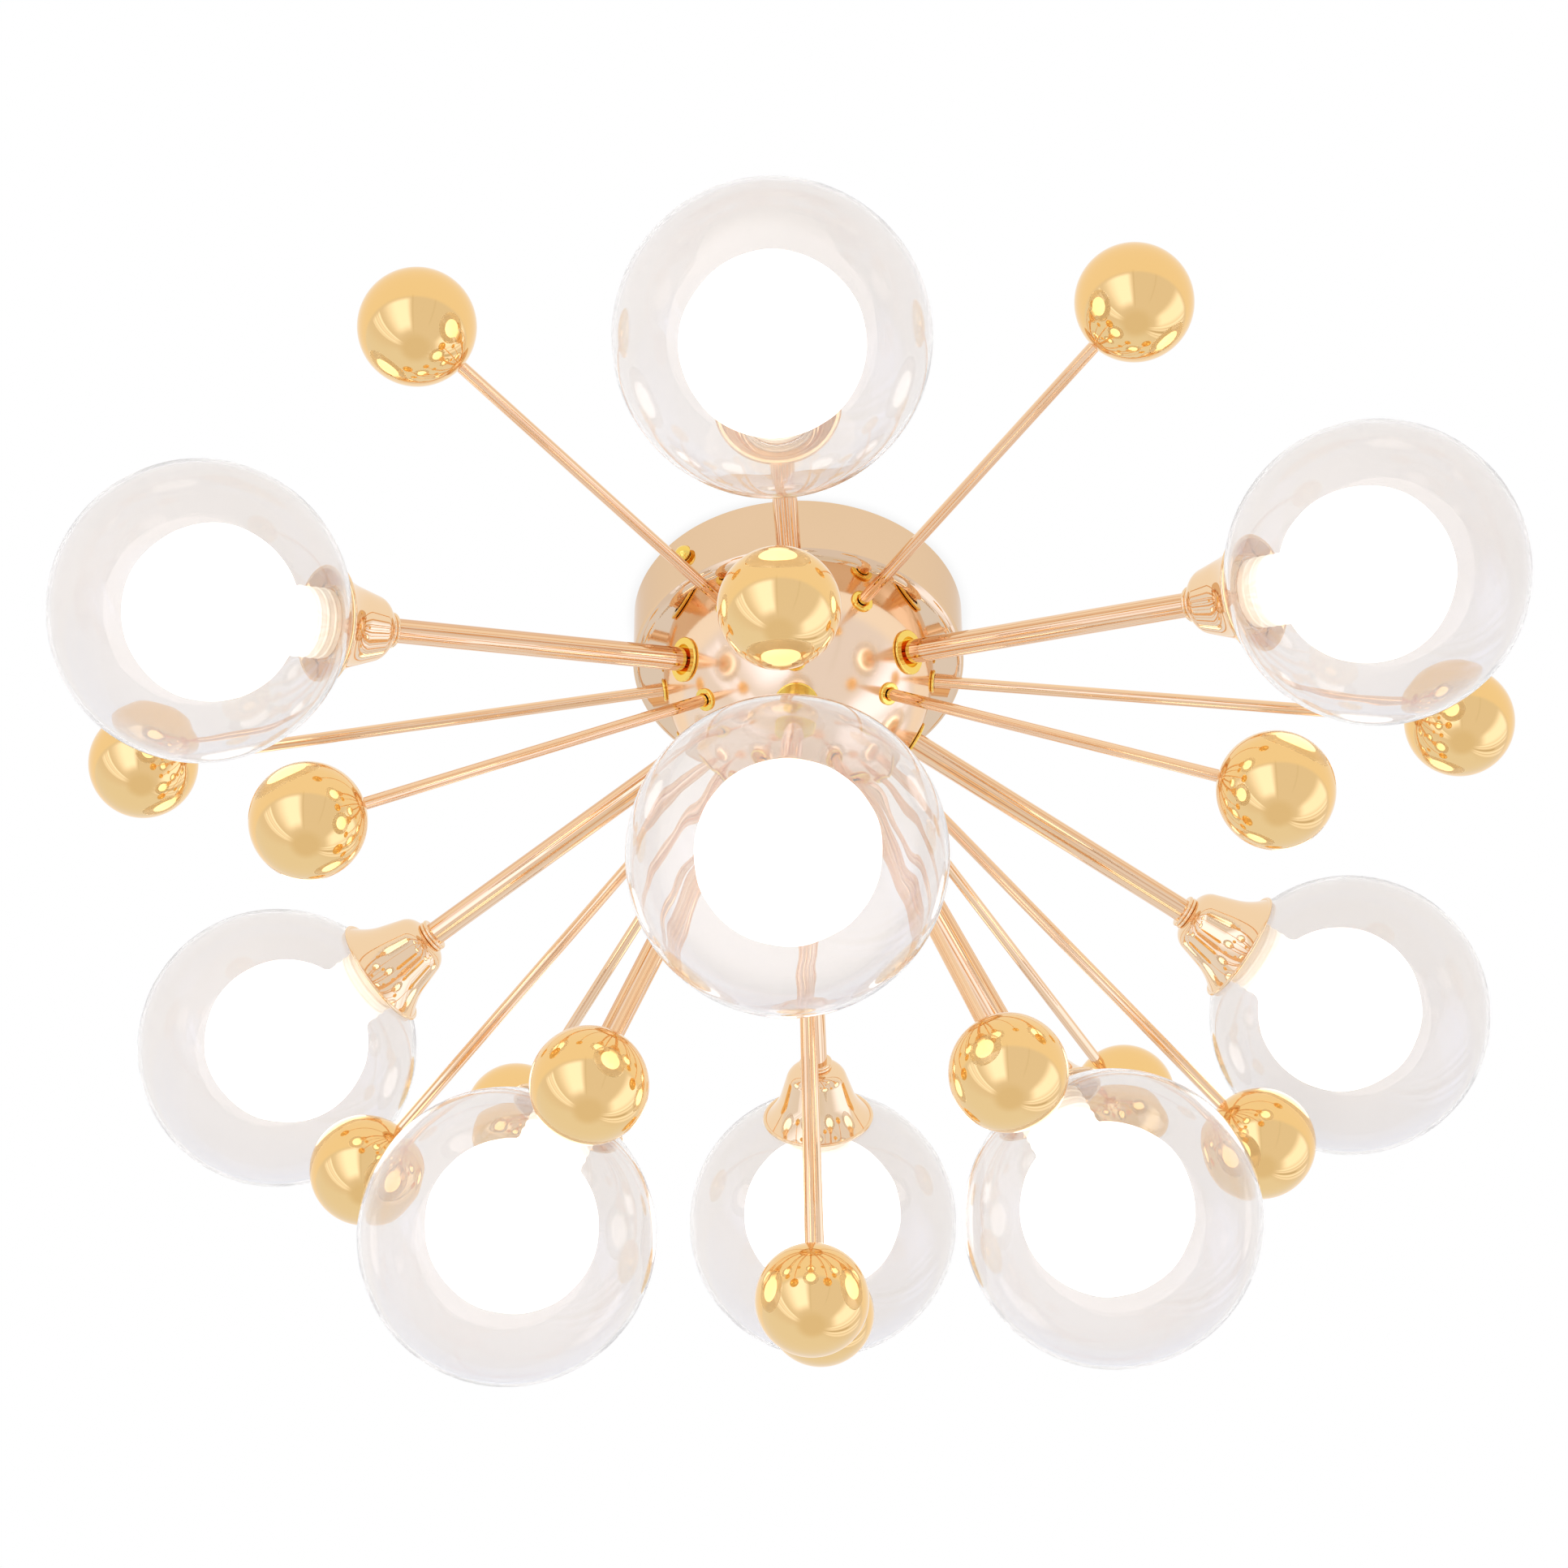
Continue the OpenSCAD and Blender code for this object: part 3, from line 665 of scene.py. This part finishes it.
rod, ball = rod_shape(), ball_shape()
for ring, places in ball_places.items():
    turned_piece(f"thin_rods_{ring}", f"rods_{ring}", "fixture", "rose_tube", rod, places)
    turned_piece(f"gold_balls_{ring}", f"balls_{ring}", "fixture", "gold_shell", ball, places)

arm_bush = bushing_shape(
    ARM_R, ARM_BARREL_R, ARM_BARREL_LEN, flange_r=9.5, mouth_r=6.5, mouth_depth=3.0
)
rod_bush = bushing_shape(
    ROD_R, ROD_BARREL_R, ROD_BARREL_LEN, flange_r=4.85, mouth_r=3.0, mouth_depth=2.4
)
collar = collar_shape()
all_lamp_places = list(lamp_places.values())
all_ball_places = [p for ring in ball_places.values() for p in ring]
turned_piece("arm_ferrules", "arm_bushings", "fixture", "gold_metal", arm_bush, all_lamp_places)
turned_piece("rod_ferrules", "rod_bushings", "fixture", "gold_metal", rod_bush, all_ball_places)
turned_piece("collar_rings", "cup_collars", "fixture", "rose_metal", collar, all_lamp_places)

knob = knob_shape()
for side, body, az in (
    ("front", "thumb_screw_a", SCREW_AZ),
    ("back", "thumb_screw_b", SCREW_AZ + 180),
):
    place = screw_place(az)
    turned_piece(f"knob_{side}", f"thumb_screw_{side}", body, "gold_metal", knob, [place])

# The canopy, the dome and the pieces inside keep their CAD meshes.
CAD_FINISH = {
    "canopy": champagne,
    "dome": rose_dome,
    "mounting_bracket": zinc,
    "dome_strap": zinc,
    "centre_nipple": zinc,
    "nipple_nuts": zinc,
    "arm_locknuts": zinc,
    "rod_locknuts": zinc,
    "earth_screw": brass,
    "terminal_block": block,
    "lamp_holders": ceramic,
    "bulbs": bulb_glass,
}
for node, finish in CAD_FINISH.items():
    for cad_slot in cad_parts[node].material_slots:
        cad_slot.material = finish

# ---------------------------------------------------------------- studio


def plane(name, size, z, material, facing=1):
    """A level square in metres, facing up, or down with facing -1."""
    half = size / 2
    corners = [(-half, -half, z), (half, -half, z), (half, half, z), (-half, half, z)]
    mesh = bpy.data.meshes.new(name)
    mesh.from_pydata(corners[::facing], [], [(0, 1, 2, 3)])
    mesh.materials.append(material)
    made = bpy.data.objects.new(name, mesh)
    bpy.context.scene.collection.objects.link(made)
    return made


def one_sided(tree, shader):
    """The shader from the front, and nothing at all from behind."""
    behind = put(tree, "ShaderNodeNewGeometry").outputs["Backfacing"]
    clear = put(tree, "ShaderNodeBsdfTransparent").outputs[0]
    mixed = put(tree, "ShaderNodeMixShader", {0: behind, 1: shader, 2: clear})
    finish_material(tree, mixed.outputs[0])


def matt_white(name, colour):
    material, tree = new_material(name)
    one_sided(tree, put(tree, "ShaderNodeBsdfDiffuse", {"Color": (*colour, 1.0)}).outputs[0])
    return material


def lit_ceiling():
    """Evenly lit white paint, darker where something stands close to it: a painted contact
    shadow.
    """
    material, tree = new_material("lit_ceiling")
    near = put(tree, "ShaderNodeAmbientOcclusion", {"Distance": 0.007}, samples=16)
    # Painted contact shadow: the glow is dimmed where the canopy stands close.
    shade = ramp(tree, near.outputs["AO"], 0.3, 0.95, 0.88, 1.0)
    one_sided(tree, put(tree, "ShaderNodeEmission", {"Strength": shade}).outputs[0])
    return material


# Only the camera and rays through the glass meet the ceiling and the floor. To all else the
# room light stands in for them. The ceiling is 0.4 mm above the canopy's rim.
ROOM_SIZE, ROOM_HEIGHT, CEILING_GAP = 12.0, 2.4, 0.0004
pale_floor = matt_white("pale_floor", (0.80, 0.79, 0.77))
ceiling = plane("ceiling", ROOM_SIZE, CEILING_GAP, lit_ceiling(), facing=-1)
floor = plane("floor", ROOM_SIZE, -ROOM_HEIGHT, pale_floor)
for surface in (ceiling, floor):
    surface.visible_glossy = False
    surface.visible_diffuse = False
    surface.visible_shadow = False

# In the room, azimuth runs from the front (-Y) towards +X and elevation is above the level,
# in degrees. The near wall is in front of the light and the far wall behind it.
CEILING_GLOW = (0.98, 0.97, 0.97)
FLOOR_GLOW = (0.80, 0.80, 0.82)
NEAR_WALL, FAR_WALL = (0.85, 0.88, 1.0), (0.88, 0.96, 1.14)
DAYLIGHT = (0.48, 0.62, 1.0)  # what full daylight adds to the wall's own light
BACKDROP = (0.93, 0.93, 0.92)
NEAR_WALL_SPAN = (-85, 130, 25, 30)  # left, right, soft left edge, soft right edge
CEILING_EDGE = (8, 17)  # the elevations between which the wall becomes ceiling
FLOOR_EDGE = (-74, -54)
SOFT_BELOW, SOFT_ABOVE = 20, 9  # of each patch of daylight
# left, right, bottom, top, soft left edge, soft right edge, strength
WINDOWS = [(-30, -14, -40, 4, 34, 12, 1.0), (90, 104, -40, 4, 18, 16, 0.9)]
# middle, half width, strength
CURTAIN_FOLDS = [
    (-80, 1.2, 0.4),
    (-76, 1.0, 0.7),
    (-71, 1.5, 0.5),
    (-66, 1.2, 0.8),
    (116, 1.5, 0.6),
    (122, 1.2, 0.5),
    (133, 1.2, 0.6),
    (139, 1.5, 0.4),
]
FOLD_BOTTOM, FOLD_TOP, FOLD_EDGE = -50, 2, 1.5
# middle, bottom, top, strength
DARK_LINES = [(127.5, -48, -22, -0.4), (37, -30, 8, -0.1), (-2, -50, 12, -0.12)]
LINE_HALF, LINE_EDGE = 0.8, 1.2


def room_light():
    """A pale room as soft light: ceiling, floor, and walls with windows, folds and dark lines.

    The camera sees a plain backdrop instead.
    """
    world = bpy.data.worlds.new("room")
    world.use_nodes = True
    tree = world.node_tree
    tree.nodes.clear()
    way = put(tree, "ShaderNodeTexCoord").outputs["Generated"]
    x, y, z = put(tree, "ShaderNodeSeparateXYZ", {0: way}).outputs
    degrees = 180 / math.pi
    el = math_node(tree, "MULTIPLY", math_node(tree, "ARCSINE", z), degrees)
    front = math_node(tree, "MULTIPLY", y, -1.0)
    az = math_node(tree, "MULTIPLY", math_node(tree, "ARCTAN2", x, front), degrees)

    wall = mix_colour(tree, band(tree, az, *NEAR_WALL_SPAN), FAR_WALL, NEAR_WALL)
    colour = mix_colour(tree, ramp(tree, el, *CEILING_EDGE), wall, CEILING_GLOW)
    colour = mix_colour(tree, ramp(tree, el, *FLOOR_EDGE), FLOOR_GLOW, colour)

    def add_patch(base, left, right, bottom, top, soft_left, soft_right, strength):
        across = band(tree, az, left, right, soft_left, soft_right)
        upright = band(tree, el, bottom, top, SOFT_BELOW, SOFT_ABOVE)
        weight = math_node(tree, "MULTIPLY", across, upright)
        weight = math_node(tree, "MULTIPLY", weight, strength)
        inputs = {0: DAYLIGHT, 3: weight}
        light = put(tree, "ShaderNodeVectorMath", inputs, operation="SCALE").outputs[0]
        inputs = {0: base, 1: light}
        return put(tree, "ShaderNodeVectorMath", inputs, operation="ADD").outputs[0]

    for window in WINDOWS:
        colour = add_patch(colour, *window)
    for middle, half, strength in CURTAIN_FOLDS:
        sides = middle - half, middle + half
        edges = FOLD_EDGE, FOLD_EDGE
        colour = add_patch(colour, *sides, FOLD_BOTTOM, FOLD_TOP, *edges, strength)
    for middle, bottom, top, strength in DARK_LINES:
        sides = middle - LINE_HALF, middle + LINE_HALF
        colour = add_patch(colour, *sides, bottom, top, LINE_EDGE, LINE_EDGE, strength)

    camera_ray = put(tree, "ShaderNodeLightPath").outputs["Is Camera Ray"]
    seen = mix_colour(tree, camera_ray, colour, BACKDROP)
    shine = put(tree, "ShaderNodeBackground", {"Color": seen}).outputs[0]
    put(tree, "ShaderNodeOutputWorld", {"Surface": shine})
    bpy.context.scene.world = world


def soft_lamp(name, place, target, size, power, colour):
    """A round area light, in metres and watts, that shows in no reflection."""
    data = bpy.data.lights.new(name, "AREA")
    data.shape = "DISK"
    data.size = size
    data.energy = power
    data.color = colour
    lamp = bpy.data.objects.new(name, data)
    lamp.location = place
    lamp.rotation_euler = (Vector(target) - Vector(place)).to_track_quat("-Z", "Y").to_euler()
    lamp.visible_glossy = False
    lamp.visible_transmission = False
    lamp.visible_camera = False
    bpy.context.scene.collection.objects.link(lamp)


room_light()
soft_lamp(
    "key_from_below",
    place=(-0.9, -1.3, -1.9),
    target=(0, 0, 0),
    size=1.6,
    power=34.0,
    colour=(1.0, 0.99, 0.97),
)

# ---------------------------------------------------------------- camera

# Below the light and in front of it, looking up.
CAMERA_AT = Vector((48.79, -1521.06, -1518.17))
PAN, TILT, ROLL = 2.080, 43.055, -0.4  # in degrees, from level and straight ahead
LENS, SENSOR = 115.445, 36.0

camera_data = bpy.data.cameras.new("camera")
camera_data.sensor_width = SENSOR
camera_data.lens = LENS
camera_data.clip_start = 0.05
camera_data.clip_end = 100
camera = bpy.data.objects.new("camera", camera_data)
pan = Matrix.Rotation(math.radians(PAN), 4, "Z")
tilt = Matrix.Rotation(math.radians(90 + TILT), 4, "X")
roll = Matrix.Rotation(math.radians(ROLL), 4, "Z")
camera.matrix_world = Matrix.Translation(CAMERA_AT * MM) @ pan @ tilt @ roll
bpy.context.scene.collection.objects.link(camera)
bpy.context.scene.camera = camera
bpy.context.scene.view_settings.view_transform = "Standard"
bpy.context.scene.cycles.max_bounces = 24
bpy.context.scene.cycles.glossy_bounces = 7
bpy.context.scene.cycles.transmission_bounces = 20
bpy.context.scene.cycles.transparent_max_bounces = 24
